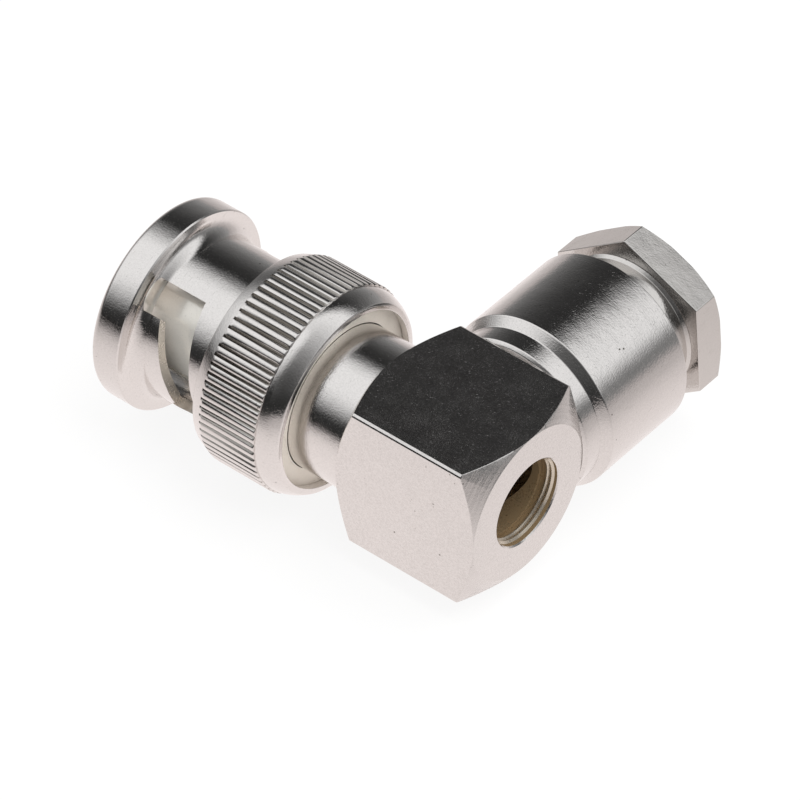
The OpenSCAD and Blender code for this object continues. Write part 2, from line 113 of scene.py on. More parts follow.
def scratches(tree, place):
    """Short fine scratches that run three ways, 1 on a scratch and 0 beside it."""
    long_mm, wide_mm = 0.9, 0.06
    marks = 0.0
    for turned_to in ((0.2, 0.3, 0.5), (0.5, -0.3, 1.6), (0.3, 0.9, 2.6)):
        drawn = add(tree, "ShaderNodeMapping",
                    {"Vector": place, "Rotation": turned_to,
                     "Scale": (long_mm * MM, wide_mm * MM, wide_mm * MM)}, vector_type="TEXTURE")
        streaks = add(tree, "ShaderNodeTexNoise",
                      {"Vector": drawn.outputs[0], "Scale": 1.0, "Detail": 0})
        line = add(tree, "ShaderNodeMapRange", {0: streaks.outputs["Fac"], 1: 0.76, 2: 0.84})
        marks = add(tree, "ShaderNodeMath", {0: line.outputs[0], 1: marks},
                    operation="MAXIMUM").outputs[0]
    return marks


def plated(name, colour, rough, marks=None, grain=1.0, stain="#5A544B", lines=0.25, metal=1.0):
    """Satin plate on turned or milled brass: a fine grain, faint tool marks, scratches, dark pits.

    marks gives the centre in mm and the scale of X, Y and Z that flattens the tool's axis, so that
    the marks run round it. The plate gives soft reflections, blurred a little more in patches."""
    material, tree = start_material(name)
    place = add(tree, "ShaderNodeTexCoord").outputs["Object"]
    # The grain of the plate is drawn wide enough to show; the swells are left by the polishing
    grain_mm, swell_mm, pit_apart_mm, feed_mm = 0.12, 1.2, 0.6, 0.08
    fine = add(tree, "ShaderNodeTexNoise", {"Vector": place, "Scale": 1 / (grain_mm * MM),
                                            "Detail": 2, "Roughness": 0.6}).outputs["Fac"]
    swell = add(tree, "ShaderNodeTexNoise", {"Vector": place, "Scale": 1 / (swell_mm * MM),
                                             "Detail": 3}).outputs["Fac"]
    scratch = scratches(tree, place)
    # Pits of 0.1 mm, only where the swells are high
    pits = add(tree, "ShaderNodeTexVoronoi", {"Vector": place, "Scale": 1 / (pit_apart_mm * MM)})
    spot = add(tree, "ShaderNodeMapRange",
               {0: pits.outputs["Distance"], 1: 0.06, 2: 0.13, 3: 1, 4: 0})
    there = add(tree, "ShaderNodeMapRange", {0: swell, 1: 0.58, 2: 0.66})
    pit = add(tree, "ShaderNodeMath", {0: spot.outputs[0], 1: there.outputs[0]},
              operation="MULTIPLY").outputs[0]
    parts = [(fine, 0.006 * grain), (swell, 0.015), (scratch, -0.0018), (pit, -0.005)]
    if marks:
        centre, flat = marks
        flattened = add(tree, "ShaderNodeMapping",
                        {"Vector": place, "Location": [-c * f * MM for c, f in zip(centre, flat)],
                         "Scale": flat})
        across = add(tree, "ShaderNodeVectorMath", {0: flattened.outputs[0]}, operation="LENGTH")
        along = add(tree, "ShaderNodeVectorMath",
                    {0: place, 1: [1 - f for f in flat]}, operation="DOT_PRODUCT")
        both = add(tree, "ShaderNodeMath",
                   {0: across.outputs["Value"], 1: along.outputs["Value"]}, operation="ADD")
        # Tool marks, as far apart as the feed of a finishing cut
        cuts = add(tree, "ShaderNodeTexNoise", {"W": both.outputs[0], "Scale": 1 / (feed_mm * MM),
                                                "Detail": 1}, noise_dimensions="1D")
        parts.append((cuts.outputs["Fac"], 0.008 * lines))
    bump = relief(tree, parts)
    # Roughness that changes in patches and with the grain
    patchy = add(tree, "ShaderNodeMix", {0: 0.5, 2: swell, 3: fine})
    blur = add(tree, "ShaderNodeMapRange", {0: patchy.outputs[0], 1: 0.35, 2: 0.65,
                                            3: rough * 0.7, 4: rough * 1.5})
    # Scratches and the low spots of the grain look a little darker, pits much darker
    worn = add(tree, "ShaderNodeMath", {0: scratch, 1: 0.22}, operation="MULTIPLY")
    low = add(tree, "ShaderNodeMapRange", {0: fine, 1: 0.2, 2: 0.65, 3: 0.1 * grain, 4: 0})
    faint = add(tree, "ShaderNodeMath", {0: low.outputs[0], 1: worn.outputs[0]},
                operation="MAXIMUM")
    dark = add(tree, "ShaderNodeMath", {0: pit, 1: faint.outputs[0]}, operation="MAXIMUM")
    skin = add(tree, "ShaderNodeMix", {0: dark.outputs[0], 6: linear(colour), 7: linear(stain)},
               data_type="RGBA")
    shader = add(tree, "ShaderNodeBsdfPrincipled", {
        "Base Color": skin.outputs[2], "Metallic": metal, "Roughness": blur.outputs[0],
        "Normal": bump.outputs[0]})
    add(tree, "ShaderNodeOutputMaterial", {"Surface": shader.outputs[0]})
    return material


def soft(name, colour, shade, rough, grain_mm, depth, sheen=0.0):
    """Dull moulded or turned soft stuff: an even colour that drifts a little, with a fine grain."""
    material, tree = start_material(name)
    place = add(tree, "ShaderNodeTexCoord").outputs["Object"]
    cloud_mm, relief_mm = 1.2, 0.03
    cloud = add(tree, "ShaderNodeTexNoise", {"Vector": place, "Scale": 1 / (cloud_mm * MM),
                                             "Detail": 3})
    grain = add(tree, "ShaderNodeTexNoise", {"Vector": place, "Scale": 1 / (grain_mm * MM),
                                             "Detail": 2})
    drift = add(tree, "ShaderNodeMix",
                {0: cloud.outputs["Fac"], 6: linear(colour), 7: linear(shade)}, data_type="RGBA")
    bump = add(tree, "ShaderNodeBump", {"Height": grain.outputs["Fac"], "Strength": depth,
                                        "Distance": relief_mm * MM})
    shader = add(tree, "ShaderNodeBsdfPrincipled", {
        "Base Color": drift.outputs[2], "Roughness": rough, "Sheen Weight": sheen,
        "Normal": bump.outputs[0]})
    add(tree, "ShaderNodeOutputMaterial", {"Surface": shader.outputs[0]})
    return material


CABLE_X = 22.8
ROUND_PLUG = ((0, 0, 0), (0, 1, 1))
ROUND_CABLE = ((CABLE_X, 0, 0), (1, 0, 1))
NICKEL = "#E4E1DF"
# Bright satin nickel on turned brass
ring_nickel = plated("satin_nickel_turned_ring", NICKEL, 0.09, ROUND_PLUG)
sleeve_nickel = plated("satin_nickel_turned_sleeve", NICKEL, 0.1, ROUND_CABLE, grain=1.2)
neck_nickel = plated("satin_nickel_turned_neck", NICKEL, 0.1, ROUND_PLUG, grain=1.2)
# Same plate on the milled block: its faces carry wide, faint arcs of the cutter
block_nickel = plated("satin_nickel_milled_block", NICKEL, 0.13, ((15, 0, -14), (1, 0, 1)), grain=2,
                      lines=0.15)
# The block's turned chamfers keep coarse marks of the tool
cone_nickel = plated("satin_nickel_turned_cone", NICKEL, 0.24, ROUND_PLUG, grain=1.6, lines=1.6)
nut_nickel = plated("satin_nickel_nut", "#D9D6D3", 0.14, ROUND_CABLE, grain=0.8, lines=0.1)
# Knurl grooves are darker: painted shade in the grooves. The pressed washer is matt and faintly
# yellow
groove_painted_shade = plated("nickel_darkened_as_groove_shade", "#ABA7A2", 0.2, ROUND_PLUG)
# The slot walls are duller and rose-tinted: a painted warm reflection
slot_painted_reflection = plated("nickel_tinted_as_slot_reflection", "#DAD1C6", 0.22, ROUND_PLUG, metal=0.6)
washer_nickel = plated("matt_nickel_washer", "#FAF3E7", 0.36, ROUND_PLUG, grain=0.6, metal=0.25)
# Deep bores take little plate, so the brass tints them
bore_brass = plated("thin_nickel_over_brass", "#9A8465", 0.3, ROUND_PLUG, grain=0.5,
                    stain="#5B4A33", metal=0.4)
thread_nickel = plated("nickel_on_fine_thread", "#CFC5B6", 0.2, ROUND_PLUG, grain=0.5, metal=0.8)
shell_nickel = plated("nickel_spring_fingers", "#F4F1EA", 0.12, ROUND_PLUG, grain=0.6, metal=0.45)
strip_steel = plated("rolled_spring_steel", "#BDBAB5", 0.3, ROUND_PLUG)
pin_gold = plated("gold_plate", "#E3B862", 0.2, ROUND_PLUG, stain="#9C7430")
rubber = soft("silicone_rubber", "#8A8378", "#716A60", 0.6, 0.08, 0.3, 0.1)
fluoropolymer = soft("turned_fluoropolymer", "#F0EEE9", "#E4E1DA", 0.42, 0.12, 0.15)


# Making pieces, in mm
def turned(outline, axis="plug", steps=288):
    """Closed outline of (place along the axis, radius) points, turned about an axis."""
    bm = bmesh.new()
    if axis == "plug":
        corners = [(a, 0, r) for a, r in outline]
        centre, direction = (0, 0, 0), (1, 0, 0)
    else:
        corners = [(CABLE_X, a, r) for a, r in outline]
        centre, direction = (CABLE_X, 0, 0), (0, 1, 0)
    verts = [bm.verts.new(c) for c in corners]
    edges = [bm.edges.new((verts[i - 1], verts[i])) for i in range(len(verts))]
    bmesh.ops.spin(bm, geom=verts + edges, cent=centre, axis=direction, angle=math.tau, steps=steps,
                   use_merge=True)
    bmesh.ops.remove_doubles(bm, verts=bm.verts, dist=1e-5)
    bmesh.ops.dissolve_degenerate(bm, edges=bm.edges, dist=1e-6)
    bmesh.ops.recalc_face_normals(bm, faces=bm.faces)
    return bm


def arc(centre, radius, start, end, count):
    """Points on a circle in an outline, from one angle to another in degrees."""
    angles = [math.radians(start + (end - start) * i / count) for i in range(count + 1)]
    return [(centre[0] + radius * math.cos(a), centre[1] + radius * math.sin(a)) for a in angles]


def curve(start, pull, stop, count):
    """Points on a smooth curve that leaves start towards pull and comes to stop from pull."""
    start, pull, stop = Vector(start), Vector(pull), Vector(stop)
    shares = [i / count for i in range(count + 1)]
    return [tuple(start.lerp(pull, share).lerp(pull.lerp(stop, share), share)) for share in shares]


def eased(outline, width=0.04, sharpest=20):
    """Rounds the corners of a closed outline over a width in mm; a corner by a short side stays."""
    made = []
    for before, here, after in zip(outline[-1:] + outline[:-1], outline, outline[1:] + outline[:1]):
        corner = Vector(here)
        back_to, on_to = Vector(before) - corner, Vector(after) - corner
        bend = 180 - math.degrees(back_to.angle(on_to))
        if bend < sharpest or min(back_to.length, on_to.length) < 2 * width:
            made.append(here)
            continue
        made += curve(corner + back_to.normalized() * width, corner,
                      corner + on_to.normalized() * width, 4)
    return made


def piece(name, bm, *materials):
    """Object in metres from a bmesh in mm, all of it shaded smooth."""
    bmesh.ops.scale(bm, vec=(MM, MM, MM), verts=bm.verts)
    mesh = bpy.data.meshes.new(name)
    bm.to_mesh(mesh)
    bm.free()
    mesh.shade_smooth()
    for material in materials:
        mesh.materials.append(material)
    item = bpy.data.objects.new(name, mesh)
    bpy.context.scene.collection.objects.link(item)
    return item


def settle(item):
    """Turns the modifiers so far into the mesh."""
    bpy.context.view_layer.update()
    shaped = item.evaluated_get(bpy.context.evaluated_depsgraph_get())
    mesh = bpy.data.meshes.new_from_object(shaped)
    item.modifiers.clear()
    item.data = mesh


def machine(item, bm, how="DIFFERENCE", material=None):
    """Cuts a tool out of a piece, adds it or keeps what both hold."""
    tool = piece("tool", bm, material or item.data.materials[0])
    step = item.modifiers.new("machine", "BOOLEAN")
    step.operation = how
    step.object = tool
    step.solver = "MANIFOLD"
    step.material_mode = "TRANSFER"
    settle(item)
    bpy.data.objects.remove(tool)


def straighten(item):
    """Takes out the points that only split a straight edge."""
    bm = bmesh.new()
    bm.from_mesh(item.data)
    bmesh.ops.dissolve_verts(bm, verts=[v for v in bm.verts if len(v.link_edges) == 2])
    bmesh.ops.dissolve_degenerate(bm, edges=bm.edges, dist=1e-7)
    bm.to_mesh(item.data)
    bm.free()


def soften(item, width, wanted):
    """Rounds the edges that a test picks, in mm."""
    bm = bmesh.new()
    bm.from_mesh(item.data)
    edges = [edge for edge in bm.edges if len(edge.link_faces) == 2 and wanted(edge)]
    bmesh.ops.bevel(bm, geom=edges, offset=width * MM, offset_type="OFFSET", segments=3,
                    profile=0.5, affect="EDGES", clamp_overlap=False, material=-1)
    bm.to_mesh(item.data)
    bm.free()
    item.data.shade_smooth()


def between_cone_and_side(edge):
    """Edge of the block between a flat side and a turned chamfer, away from the side's middle."""
    side, chamfer = sorted(abs(face.normal.x) for face in edge.link_faces)
    aside = all(min(abs(v.co.y), abs(v.co.z)) > 1.5 * MM for v in edge.verts)
    return side < 0.05 and 0.5 < chamfer < 0.97 and aside


def crisp(item, angle=30):
    """Sharp edges shade sharp; large faces rule the shading of what meets them."""
    item.data.set_sharp_from_angle(angle=math.radians(angle))
    weigh = item.modifiers.new("weigh", "WEIGHTED_NORMAL")
    weigh.keep_sharp = True


def draw_out(bm, way):
    """Makes a solid from flat faces by drawing them along a way in mm."""
    drawn = bmesh.ops.extrude_face_region(bm, geom=bm.faces[:])["geom"]
    bmesh.ops.translate(bm, vec=way, verts=[g for g in drawn if isinstance(g, bmesh.types.BMVert)])
    bmesh.ops.recalc_face_normals(bm, faces=bm.faces)


def both_sides(bm):
    """Adds a copy of the tool, half a turn round the plug axis."""
    copy = bmesh.ops.duplicate(bm, geom=bm.verts[:] + bm.edges[:] + bm.faces[:])["geom"]
    bmesh.ops.rotate(bm, cent=(0, 0, 0), matrix=Matrix.Rotation(math.pi, 3, "X"),
                     verts=[g for g in copy if isinstance(g, bmesh.types.BMVert)])
    return bm


# A tool reaches PAST or OVER beyond what it cuts; parts of one piece run SEAM into each other
PAST, OVER, SEAM = 1, 0.5, 0.02

# Coupling ring: its outside from front to rear, its knurl, then its inside
RING_FRONT, RING_REAR = -1.1, 13.9
FLANGE_R, FLANGE_ROUND, FLANGE_BACK, FLANGE_EDGE, FILLET = 7.0, 0.55, 1.2, 0.08, 1
BARREL_R = 5.59
STEP_FACE, STEP_R = 7.22, 6.84
KNURL_FRONT, CHAMFER_END, RUN_OUT, KNURL_REAR = 8.044, 8.25, 12.2, 12.44
# A tooth's crown, its rounded sides, the groove's root and the root where the knurl runs out
GRIP_R, SIDE_R, ROOT_R, END_R = 7.25, 7.2, 7.03, 7.12
CROWN_DROP = 0.005
MOUTH_LEAD, RING_BORE_R = 0.35, 4.92
SPRING_ROOM_FRONT, SPRING_ROOM_R = 9.32, 6.3
WASHER_SEAT_FRONT, WASHER_SEAT_BACK, WASHER_SEAT_R, LIP_R = 12.83, 13.35, 6.58, 6.17
RING_EDGE = 0.06
TEETH, COLUMNS = 72, 6
# Where the knurl begins and ends, two points lie a hair apart
HAIR = 0.01
# Round behind the knurl and the last corner, each as start, pull and stop
REAR_ROUND = (KNURL_REAR + HAIR, 7.11), (13.12, 7.08), (13.78, 6.64)
REAR_CORNER = (13.82, 6.61), (RING_REAR, 6.53), (RING_REAR, 6.4)
# The slotted front and the knurled rear are made apart and joined on the barrel
JOINT = 6.9
front_outline = (
    [(RING_FRONT, RING_BORE_R + MOUTH_LEAD), (RING_FRONT, FLANGE_R - FLANGE_ROUND)]
    + arc((RING_FRONT + FLANGE_ROUND, FLANGE_R - FLANGE_ROUND), FLANGE_ROUND, 170, 90, 8)
    + [(FLANGE_BACK - FLANGE_EDGE, FLANGE_R), (FLANGE_BACK, FLANGE_R - FLANGE_EDGE)]
    + arc((FLANGE_BACK + FILLET, BARREL_R + FILLET), FILLET, 180, 270, 12)
    + [(JOINT + PAST, BARREL_R), (JOINT + PAST, RING_BORE_R),
       (RING_FRONT + MOUTH_LEAD, RING_BORE_R)])
rear_outline = (
    [(JOINT - PAST, BARREL_R), (STEP_FACE, BARREL_R), (STEP_FACE, STEP_R),
     (KNURL_FRONT - HAIR, 7.164), (KNURL_FRONT, 7.168), (CHAMFER_END, GRIP_R),
     (RUN_OUT, GRIP_R), (KNURL_REAR, GRIP_R)]
    + curve(*REAR_ROUND, 12) + curve(*REAR_CORNER, 3)
    + [(RING_REAR, LIP_R), (WASHER_SEAT_BACK, LIP_R), (WASHER_SEAT_BACK, WASHER_SEAT_R),
       (WASHER_SEAT_FRONT, WASHER_SEAT_R), (WASHER_SEAT_FRONT, SPRING_ROOM_R),
       (SPRING_ROOM_FRONT, SPRING_ROOM_R), (SPRING_ROOM_FRONT, RING_BORE_R),
       (JOINT - PAST, RING_BORE_R)])
grip = turned(eased(rear_outline, RING_EDGE), steps=TEETH * COLUMNS)
# Columns of a tooth: 0 is its middle, 1 and 5 its crown, 2 and 4 its rounded sides and 3 the
# groove's root
pitch = math.tau / TEETH
sides = set()
for vert in grip.verts:
    column = round(math.atan2(-vert.co.y, vert.co.z) / (pitch / COLUMNS)) % COLUMNS
    radius = math.hypot(vert.co.y, vert.co.z)
    if KNURL_FRONT - HAIR / 2 < vert.co.x < KNURL_REAR + HAIR / 2 and radius > ROOT_R:
        root = ROOT_R if vert.co.x < RUN_OUT + HAIR else END_R
        reach = (GRIP_R, GRIP_R - CROWN_DROP, SIDE_R, root)[min(column, COLUMNS - column)]
        vert.co.yz *= min(reach, radius) / radius
        if column in (2, 3, 4):
            sides.add(vert)
# Faces on a groove's sides and root take the second, darker material: painted shade in the grooves
for face in grip.faces:
    face.material_index = int(all(vert in sides for vert in face.verts))
bmesh.ops.bisect_plane(grip, geom=grip.verts[:] + grip.edges[:] + grip.faces[:],
                       plane_co=(JOINT, 0, 0), plane_no=(1, 0, 0), clear_inner=True)
ring = piece("ring", turned(eased(front_outline, RING_EDGE), steps=TEETH * COLUMNS), ring_nickel,
             groove_painted_shade, slot_painted_reflection)

# Slots: turns are in degrees from the entry channel
SLOT_CLOCK, SLOT_TURN, RAMP_TURN, SLOT_LEAD = 132.7, 84, 60, 9
SLOT_WIDTH, CHANNEL_END, POCKET_X = 2.3, 4.95, 4.9
CROWN_R, CROWN_CENTRE = 2.2, 3.9
SLOT_INNER_R, SLOT_OUTER_R, SLOT_STEPS = 4, 7, 31


def between(turn_now, stops):
    """Value at a turn, along straight lines between (turn, value) stops."""
    for (a, va), (b, vb) in zip(stops, stops[1:]):
        if turn_now <= b:
            return va + (vb - va) * (turn_now - a) / (b - a)
    return stops[-1][1]


def at_clock(bm, degrees):
    """Turns a tool about the plug axis."""
    bmesh.ops.rotate(bm, cent=(0, 0, 0), matrix=Matrix.Rotation(math.radians(degrees), 3, "X"),
                     verts=bm.verts)
    return bm


# Entry channel with its crowned floor
channel = bmesh.new()
bmesh.ops.create_circle(channel, cap_ends=True, radius=CROWN_R, segments=96,
                        matrix=Matrix.Translation((RING_FRONT - PAST, CROWN_CENTRE, 0))
                        @ Matrix.Rotation(math.pi / 2, 4, "Y"))
for side in (1, -1):
    bmesh.ops.bisect_plane(channel, geom=channel.verts[:] + channel.edges[:] + channel.faces[:],
                           plane_co=(0, 0, side * SLOT_WIDTH / 2), plane_no=(0, 0, side),
                           clear_outer=True)
draw_out(channel, (CHANNEL_END - RING_FRONT + PAST, 0, 0))

# Climbing ramp and its run to the pocket, in short steps round the barrel; its edges are
# (turn, place along the axis) stops
FRONT_EDGE = [(-SLOT_LEAD, 2.34), (0, 2.34), (RAMP_TURN, 3.97), (SLOT_TURN, 4.30)]
BACK_EDGE = [(-SLOT_LEAD, 4.975), (RAMP_TURN, 6.18), (SLOT_TURN, 5.40)]
ramp = bmesh.new()
stations = []
for i in range(SLOT_STEPS + 1):
    turn_now = -SLOT_LEAD + (SLOT_TURN + SLOT_LEAD) * i / SLOT_STEPS
    y, z = math.cos(math.radians(turn_now)), math.sin(math.radians(turn_now))
    fore, aft = between(turn_now, FRONT_EDGE), between(turn_now, BACK_EDGE)
    stations.append([ramp.verts.new((x, r * y, r * z))
                     for x, r in ((fore, SLOT_INNER_R), (aft, SLOT_INNER_R),
                                  (aft, SLOT_OUTER_R), (fore, SLOT_OUTER_R))])
for one, two in zip(stations, stations[1:]):
    for k in range(4):
        ramp.faces.new((one[k - 1], one[k], two[k], two[k - 1]))
ramp.faces.new(stations[0])
ramp.faces.new(stations[-1])
bmesh.ops.recalc_face_normals(ramp, faces=ramp.faces)

# Locking pocket
pocket = bmesh.new()
bmesh.ops.create_cone(pocket, cap_ends=True, segments=64, radius1=SLOT_WIDTH / 2,
                      radius2=SLOT_WIDTH / 2, depth=SLOT_OUTER_R - SLOT_INNER_R,
                      matrix=Matrix.Translation((POCKET_X, (SLOT_INNER_R + SLOT_OUTER_R) / 2, 0))
                      @ Matrix.Rotation(math.pi / 2, 4, "X"))
at_clock(pocket, SLOT_TURN)
# The slot walls take the rose-tinted material, a painted warm reflection
for tool in (channel, ramp, pocket):
    machine(ring, both_sides(at_clock(tool, SLOT_CLOCK)), "DIFFERENCE", slot_painted_reflection)

# The rear joins the slotted front, and its points on the joint meet the front's
rear = piece("rear", grip, ring_nickel, groove_painted_shade, slot_painted_reflection)
whole = bmesh.new()
whole.from_mesh(ring.data)
bmesh.ops.bisect_plane(whole, geom=whole.verts[:] + whole.edges[:] + whole.faces[:],
                       plane_co=(JOINT * MM, 0, 0), plane_no=(1, 0, 0), clear_outer=True)
whole.from_mesh(rear.data)
bmesh.ops.remove_doubles(whole, verts=whole.verts, dist=1e-7)
whole.to_mesh(ring.data)
whole.free()
bpy.data.objects.remove(rear)
ring.data.shade_smooth()
crisp(ring)
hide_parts("coupling_ring")
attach(ring, "ring")

# Contact shell
SHELL_R, SHELL_BORE_R, SHELL_LEAD, SHELL_EDGE = 3.9, 3.52, 0.14, 0.07
BEAD_R, BEAD_ROUND, BEAD_FRONT, BEAD_BACK = 4.1, 0.42, 0.3, 0.6
SHOULDER_FRONT, SHOULDER_BACK, SHOULDER_R = 9.37, 10.57, 6.2
STUB_END, STUB_R = 16.57, 4.29
shell_outline = (
    [(0, SHELL_BORE_R + SHELL_LEAD)]
    + arc((BEAD_FRONT, BEAD_R - BEAD_ROUND), BEAD_ROUND, 135.6, 90, 6)
    + arc((BEAD_BACK, BEAD_R - BEAD_ROUND), BEAD_ROUND, 90, 31.6, 6)
    + [(SHOULDER_FRONT, SHELL_R), (SHOULDER_FRONT, SHOULDER_R), (SHOULDER_BACK, SHOULDER_R),
       (SHOULDER_BACK, STUB_R), (STUB_END, STUB_R), (STUB_END, SHELL_BORE_R),
       (SHELL_LEAD, SHELL_BORE_R)])
shell = piece("shell", turned(eased(shell_outline, SHELL_EDGE)), shell_nickel)
# Four fingers, parted by a saw that comes in from one side at a time
FINGER_CLOCK, FINGER_SLOT, FINGER_LENGTH = 23, 0.42, 5.8
SAW_REACH, SAW_CENTRE = 5, 3.5
for quarter in range(4):
    saw = bmesh.new()
    bmesh.ops.create_cube(saw, size=1)
    bmesh.ops.scale(saw, vec=(FINGER_LENGTH + PAST, SAW_REACH, FINGER_SLOT), verts=saw.verts)
    bmesh.ops.translate(saw, vec=((FINGER_LENGTH - PAST) / 2, SAW_CENTRE, 0), verts=saw.verts)
    machine(shell, at_clock(saw, FINGER_CLOCK + 90 * quarter))
crisp(shell)
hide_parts("contact_shell")
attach(shell, "body")

# Elbow
BLOCK_FRONT, BLOCK_REAR, HALF = 17.42, 28.18, 5.35
CORNER_R = HALF * math.sqrt(2)
# The chamfer's rim stays a hair inside the flats
RIM_R = HALF - 0.02
CONE_SLOPE = math.tan(math.radians(29))
CHAMFER_RUN = (CORNER_R - RIM_R) * CONE_SLOPE
BLOCK_EDGE = 0.05
NECK_FRONT, NECK_R, NECK_EDGE = 10.58, 5.0, 0.1
# Square section whose corners are broken in two facets, a wide one and a narrow steep one;
# a point is given by how far it lies in from the corner on each side
CORNER = [(0.18, 0), (0.05, 0.105), (0, 0.2)]
section = []
for quarter in range(4):
    for in_along, in_down in CORNER:
        y, z = HALF - in_down, HALF - in_along
        for _ in range(quarter):
            y, z = -z, y
        section.append((y, z))
block_bm = bmesh.new()
block_bm.faces.new([block_bm.verts.new((BLOCK_FRONT, y, z)) for y, z in section])
draw_out(block_bm, (BLOCK_REAR - BLOCK_FRONT, 0, 0))
elbow = piece("elbow", block_bm, block_nickel)
# The turned chamfers at both ends leave four points of the square
machine(elbow, turned([(BLOCK_FRONT - PAST * CONE_SLOPE, 0),
                       (BLOCK_FRONT - PAST * CONE_SLOPE, RIM_R - PAST),
                       (BLOCK_FRONT + CHAMFER_RUN, CORNER_R), (BLOCK_REAR - CHAMFER_RUN, CORNER_R),
                       (BLOCK_REAR + PAST * CONE_SLOPE, RIM_R - PAST),
                       (BLOCK_REAR + PAST * CONE_SLOPE, 0)], steps=240), "INTERSECT", cone_nickel)
soften(elbow, BLOCK_EDGE, between_cone_and_side)
machine(elbow, turned([(NECK_FRONT, 0), (NECK_FRONT, NECK_R - NECK_EDGE),
                       (NECK_FRONT + NECK_EDGE, NECK_R), (BLOCK_FRONT + PAST, NECK_R),
                       (BLOCK_FRONT + PAST, 0)], steps=240), "UNION", neck_nickel)
# Bore for the shell's stub, seat for the rear insulator, chamber and cap thread
BORE_START, STUB_SEAT_END, STUB_BORE_R, SEAT_END, SEAT_R = 9.5, 16.59, 4.3, 18.72, 3.0
THREAD_ROOT, THREAD_CREST, THREAD_DEPTH, CHAMBER_R = 3.0, 2.85, 1.25, 2.68
MOUTH_R, MOUTH_DEPTH = 3.09, 0.24
machine(elbow, turned([(BORE_START, 0), (BORE_START, STUB_BORE_R), (STUB_SEAT_END, STUB_BORE_R),
                       (STUB_SEAT_END, SEAT_R), (SEAT_END, SEAT_R), (SEAT_END, CHAMBER_R),
                       (BLOCK_REAR - THREAD_DEPTH, CHAMBER_R),
                       (BLOCK_REAR - THREAD_DEPTH, THREAD_ROOT),
                       (BLOCK_REAR + OVER, THREAD_ROOT), (BLOCK_REAR + OVER, 0)],
                      steps=192), "DIFFERENCE", bore_brass)
machine(elbow, turned([(BLOCK_REAR - MOUTH_DEPTH, THREAD_CREST),
                       (BLOCK_REAR + OVER, MOUTH_R + OVER), (BLOCK_REAR + OVER, 0),
                       (BLOCK_REAR - MOUTH_DEPTH, 0)], steps=192), "DIFFERENCE", block_nickel)
# Cross bore from the cable's side, and the seat of the sleeve's spigot
CROSS_END, CROSS_R, SPIGOT_FRONT, SPIGOT_BORE_R, CROSS_START = -2.8, 3.6, 3.53, 4.0, 6.5
machine(elbow, turned([(CROSS_END, 0), (CROSS_END, CROSS_R), (SPIGOT_FRONT, CROSS_R),
                       (SPIGOT_FRONT, SPIGOT_BORE_R), (CROSS_START, SPIGOT_BORE_R),
                       (CROSS_START, 0)], "cable", steps=144), "DIFFERENCE", bore_brass)
straighten(elbow)
crisp(elbow, 20)
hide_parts("elbow_body")
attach(elbow, "body")


def thread(name, axis, start_at, length, pitch_mm, base_r, crest_r, material, steps=72):
    """Helical ridge with a flat crest, from its base radius to its crest radius."""
    bm = bmesh.new()
    # Half widths of the ridge's foot and of its crest, as shares of the pitch
    half, flat = pitch_mm * 0.46, pitch_mm * 0.07
    shape = [(start_at - half, base_r), (start_at - flat, crest_r), (start_at + flat, crest_r),
             (start_at + half, base_r)]
    if axis == "plug":
        corners = [(a, 0, r) for a, r in shape]
        centre, direction, drift = (0, 0, 0), (1, 0, 0), (pitch_mm / steps, 0, 0)
    else:
        corners = [(CABLE_X, a, r) for a, r in shape]
        centre, direction, drift = (CABLE_X, 0, 0), (0, 1, 0), (0, pitch_mm / steps, 0)
    turns = length / pitch_mm
    first = bm.faces.new([bm.verts.new(c) for c in corners])
    bmesh.ops.spin(bm, geom=[first], cent=centre, axis=direction, dvec=drift,
                   angle=math.tau * turns, steps=round(steps * turns), use_merge=False)
    bmesh.ops.holes_fill(bm, edges=bm.edges, sides=4)
    bmesh.ops.recalc_face_normals(bm, faces=bm.faces)
    item = piece(name, bm, material)
    item.data.set_sharp_from_angle(angle=math.radians(30))
    return item


CAP_PITCH = 0.35
cap_thread = thread("cap_thread", "plug", BLOCK_REAR - 3 * CAP_PITCH, 2 * CAP_PITCH, CAP_PITCH,
                    THREAD_ROOT + SEAM, THREAD_CREST, thread_nickel)
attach(cap_thread, "body")

# Cable sleeve
SPIGOT_END, SPIGOT_R, CORE_R = 3.55, 3.99, 2.3
COLLAR_START, COLLAR_LEAD, COLLAR_R, COLLAR_END = 5.37, 0.2, 5.65, 6.87
CONE_END, SLEEVE_R, SLEEVE_END = 7.42, 6.2, 14.95
SLEEVE_FLOOR, SLEEVE_BORE_R, SLEEVE_LEAD, SLEEVE_EDGE = 7.3, 4.78, 0.3, 0.06
sleeve = piece("sleeve", turned(eased(
    [(SPIGOT_END, CORE_R), (SPIGOT_END, SPIGOT_R), (COLLAR_START, SPIGOT_R),
     (COLLAR_START, COLLAR_R - COLLAR_LEAD), (COLLAR_START + COLLAR_LEAD, COLLAR_R),
     (COLLAR_END, COLLAR_R), (CONE_END, SLEEVE_R), (SLEEVE_END, SLEEVE_R),
     (SLEEVE_END, SLEEVE_BORE_R + SLEEVE_LEAD), (SLEEVE_END - SLEEVE_LEAD, SLEEVE_BORE_R),
     (SLEEVE_FLOOR, SLEEVE_BORE_R), (SLEEVE_FLOOR, CORE_R)], SLEEVE_EDGE), "cable", steps=240),
    sleeve_nickel)
crisp(sleeve)
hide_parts("clamp_sleeve")
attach(sleeve, "body")

# Clamp nut
NUT_HEAD_FRONT, NUT_BACK, NUT_FRONT = 17.08, 19.46, 12.65
FLAT_R, NUT_EDGE = 5.475, 0.07
NUT_CORNER_R = FLAT_R / math.cos(math.radians(30))
NUT_CLOCK = 36.7
CABLE_R, NUT_MOUTH = 2.75, 0.4
hexagon = bmesh.new()
